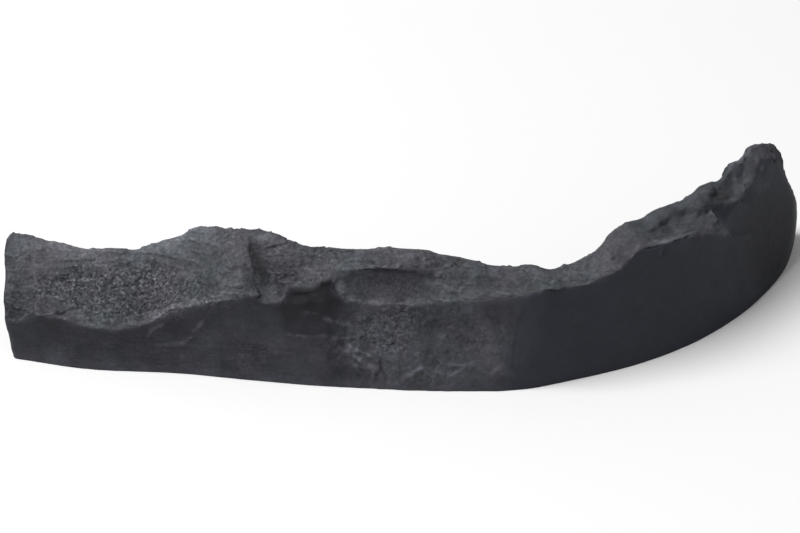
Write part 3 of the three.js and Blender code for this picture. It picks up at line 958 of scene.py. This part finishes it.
scattered = add(
    tree, "VectorMath", {0: scatter, 2: stone_place}, {1: [CRUMB_MM * MM] * 3}, operation="MULTIPLY_ADD"
)
crumb = add(
    tree, "TexVoronoi", {"Vector": scattered.outputs[0]}, {"Scale": per_metre(CRUMB_MM)}
).outputs["Distance"]
print("patterns, mm:", BLOTCH_MM, CLOUD_MM, MOTTLE_MM, SPECK_MM, STREAK_THIN_MM, CRUMB_MM)

# %% Colour of the slate
# Riven slate is dark, and broken slate is paler. Each drifts between a purple and a green cast, and the
# smooth right end is the bluest. Sockets with the same name are told apart by number: a colour Mix has
# its factor at 0, its two colours at 6 and 7 and its result at 2.
RIVEN_PURPLE, RIVEN_GREEN = "#36353b", "#34363b"
RIVEN_BLUE = "#34363f"
BROKEN_PURPLE, BROKEN_GREEN = "#4b4a4f", "#484b4f"
FACTOR, FIRST, SECOND, MIXED = 0, 6, 7, 2
CAST_ENDS = {"From Min": 0.35, "From Max": 0.65}

cast = add(tree, "MapRange", {"Value": blotch}, CAST_ENDS).outputs[0]
riven_drift, broken_drift = [
    add(
        tree, "Mix", {FACTOR: cast}, {FIRST: linear(purple), SECOND: linear(green)}, data_type="RGBA"
    ).outputs[MIXED]
    for purple, green in ((RIVEN_PURPLE, RIVEN_GREEN), (BROKEN_PURPLE, BROKEN_GREEN))
]
riven = add(
    tree, "Mix",
    {FACTOR: patchy_mask, SECOND: riven_drift}, {FIRST: linear(RIVEN_BLUE)}, data_type="RGBA",
).outputs[MIXED]
colour = add(
    tree, "Mix",
    {FACTOR: broken_mask, FIRST: riven, SECOND: broken_drift}, data_type="RGBA",
).outputs[MIXED]
print("riven and broken slate:", RIVEN_PURPLE, BROKEN_PURPLE)

# %% Darken and pale the colour with the patterns
# Each pattern becomes a gain around 1. A Math node's MULTIPLY_ADD gives input 0 times input 1 plus 2.
PATTERN_LOW, PATTERN_HIGH = 0.32, 0.68
CLOUD_SWING, MOTTLE_SWING, STREAK_SWING = 0.2, 0.35, 0.4
SPECK_DARKER, SPECK_PALER = -0.45, 0.9
CRUMB_DARKER, CRUMB_PALER = -0.3, 0.7
CRUMB_BORDER, CRUMB_MIDDLE = 0.62, 0.12
MOTTLE_SHARES = {1: 0.5, 2: 0.15}
STREAK_SHARES = {1: 0.85, 2: 0.12}


def swing(value, darker, paler, weight, low=PATTERN_LOW, high=PATTERN_HIGH):
    """A gain that follows a pattern from darker to paler, as far as the weight lets it."""
    ends = {"From Min": low, "From Max": high, "To Min": darker, "To Max": paler}
    change = add(tree, "MapRange", {"Value": value}, ends).outputs[0]
    return add(tree, "Math", {0: change, 1: weight}, {2: 1.0}, operation="MULTIPLY_ADD").outputs[0]


mottle_amount = add(tree, "Math", {0: grain_mask}, MOTTLE_SHARES, operation="MULTIPLY_ADD").outputs[0]
hackle_amount = add(tree, "Math", {0: hackle_mask}, STREAK_SHARES, operation="MULTIPLY_ADD").outputs[0]
streak_amount = add(tree, "Math", {0: hackle_amount, 1: patchy_mask}, operation="MULTIPLY").outputs[0]
gains = [
    swing(cloud, -CLOUD_SWING, CLOUD_SWING, patchy_mask),
    swing(mottle, -MOTTLE_SWING, MOTTLE_SWING, mottle_amount),
    swing(streak, -STREAK_SWING, STREAK_SWING, streak_amount),
    swing(speck, SPECK_DARKER, SPECK_PALER, grain_mask),
    swing(crumb, CRUMB_DARKER, CRUMB_PALER, grain_mask, low=CRUMB_BORDER, high=CRUMB_MIDDLE),
    # The tone gain also carries the painted highlights and painted shade.
    add(tree, "Math", {0: tone_mask}, {1: 1.0}, operation="ADD").outputs[0],
]
for gain in gains:
    colour = add(tree, "VectorMath", {0: colour, 3: gain}, operation="SCALE").outputs[0]
print("colour changes:", len(gains))

# %% Surface of the slate
SLATE_IOR = 1.55
# A riven face gleams faintly and a broken one is dull.
RIVEN_ROUGHNESS, BROKEN_ROUGHNESS = 0.6, 0.85
# Crumbs shade one another, so broken slate mirrors less than polished slate of the same index would.
MIRROR_LEVEL = 0.1
SPECK_HEIGHT_MM, MOTTLE_HEIGHT_MM, STREAK_HEIGHT_MM = 1.2, 2.0, 1.6

roughness = add(
    tree, "MapRange", {"Value": broken_mask}, {"To Min": RIVEN_ROUGHNESS, "To Max": BROKEN_ROUGHNESS}
)
speck_bump = add(
    tree, "Bump", {"Height": speck, "Strength": grain_mask}, {"Distance": SPECK_HEIGHT_MM * MM}
)
mottle_bump = add(
    tree, "Bump", {"Height": mottle, "Strength": mottle_amount, "Normal": speck_bump.outputs[0]},
    {"Distance": MOTTLE_HEIGHT_MM * MM},
)
streak_bump = add(
    tree, "Bump", {"Height": streak, "Strength": streak_amount, "Normal": mottle_bump.outputs[0]},
    {"Distance": STREAK_HEIGHT_MM * MM},
)
surface = add(
    tree, "BsdfPrincipled",
    {"Base Color": colour, "Roughness": roughness.outputs[0], "Normal": streak_bump.outputs[0]},
    {"IOR": SLATE_IOR, "Specular IOR Level": MIRROR_LEVEL},
)
add(tree, "OutputMaterial", {"Surface": surface.outputs[0]})
skin.materials.append(slate)
print("slate material:", len(tree.nodes), "nodes")

# %% [markdown]
# ## In place of the solid
# The carved skin is the same stone as the measured solid, only finer, so it takes the solid's place. The
# part has one body, called root, and the skin rides on that. Its slot names the material for whoever
# uses the part.

# %% Put the stone in place of the solid
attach(stone, "root")
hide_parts("slate_slab")
print("in place of slate_slab:", stone.name)

# %% [markdown]
# ## Floor and light
# The photograph has a plain white ground and soft light from above, a little from the left: the tops and
# the left-hand flanks are pale and the right end is nearly black. One large soft lamp, set far off so that
# the floor is evenly bright, does part of that, and painted light and painted shade in the stone's colour
# do the rest. The white floor sends enough light back to show the front face.

# %% White floor
# Matt paper has no gleam of its own. It lies a hair below the stone, so that the two don't share a plane.
FLOOR_M = 24.0
FLOOR_DROP_MM = 0.3
FLOOR_COLOUR = "#f8f8f8"
PAPER_ROUGHNESS = 0.9

floor_mesh = bpy.data.meshes.new("pale_floor")
half = FLOOR_M / 2
floor_corners = [(-half, -half, 0), (half, -half, 0), (half, half, 0), (-half, half, 0)]
floor_mesh.from_pydata(floor_corners, [], [(0, 1, 2, 3)])
floor = bpy.data.objects.new("pale_floor", floor_mesh)
floor.location.z = -FLOOR_DROP_MM * MM
bpy.context.scene.collection.objects.link(floor)
paper = bpy.data.materials.new("matt_white_paper")
paper.use_nodes = True
paper_shader = paper.node_tree.nodes["Principled BSDF"]
paper_shader.inputs["Base Color"].default_value = linear(FLOOR_COLOUR)
paper_shader.inputs["Roughness"].default_value = PAPER_ROUGHNESS
floor_mesh.materials.append(paper)
print("floor:", FLOOR_M, "m wide")

# %% Soft lamp and pale sky
LAMP_PLACE_M = Vector((-3.2, -0.9, 5.2))
LAMP_SIZE_M = 4.0
LAMP_WATTS = 400.0
SKY_STRENGTH = 0.3

lamp_data = bpy.data.lights.new("soft_lamp", "AREA")
lamp_data.size = LAMP_SIZE_M
lamp_data.energy = LAMP_WATTS
lamp = bpy.data.objects.new("soft_lamp", lamp_data)
lamp.location = LAMP_PLACE_M
lamp.rotation_euler = (Vector(aim_mm * MM) - LAMP_PLACE_M).to_track_quat("-Z", "Y").to_euler()
bpy.context.scene.collection.objects.link(lamp)

world = bpy.data.worlds.new("pale_sky")
world.use_nodes = True
world.node_tree.nodes["Background"].inputs["Color"].default_value = (1, 1, 1, 1)
world.node_tree.nodes["Background"].inputs["Strength"].default_value = SKY_STRENGTH
bpy.context.scene.world = world
bpy.context.scene.view_settings.view_transform = "Standard"
print("lamp:", LAMP_WATTS, "W,", LAMP_SIZE_M, "m wide")
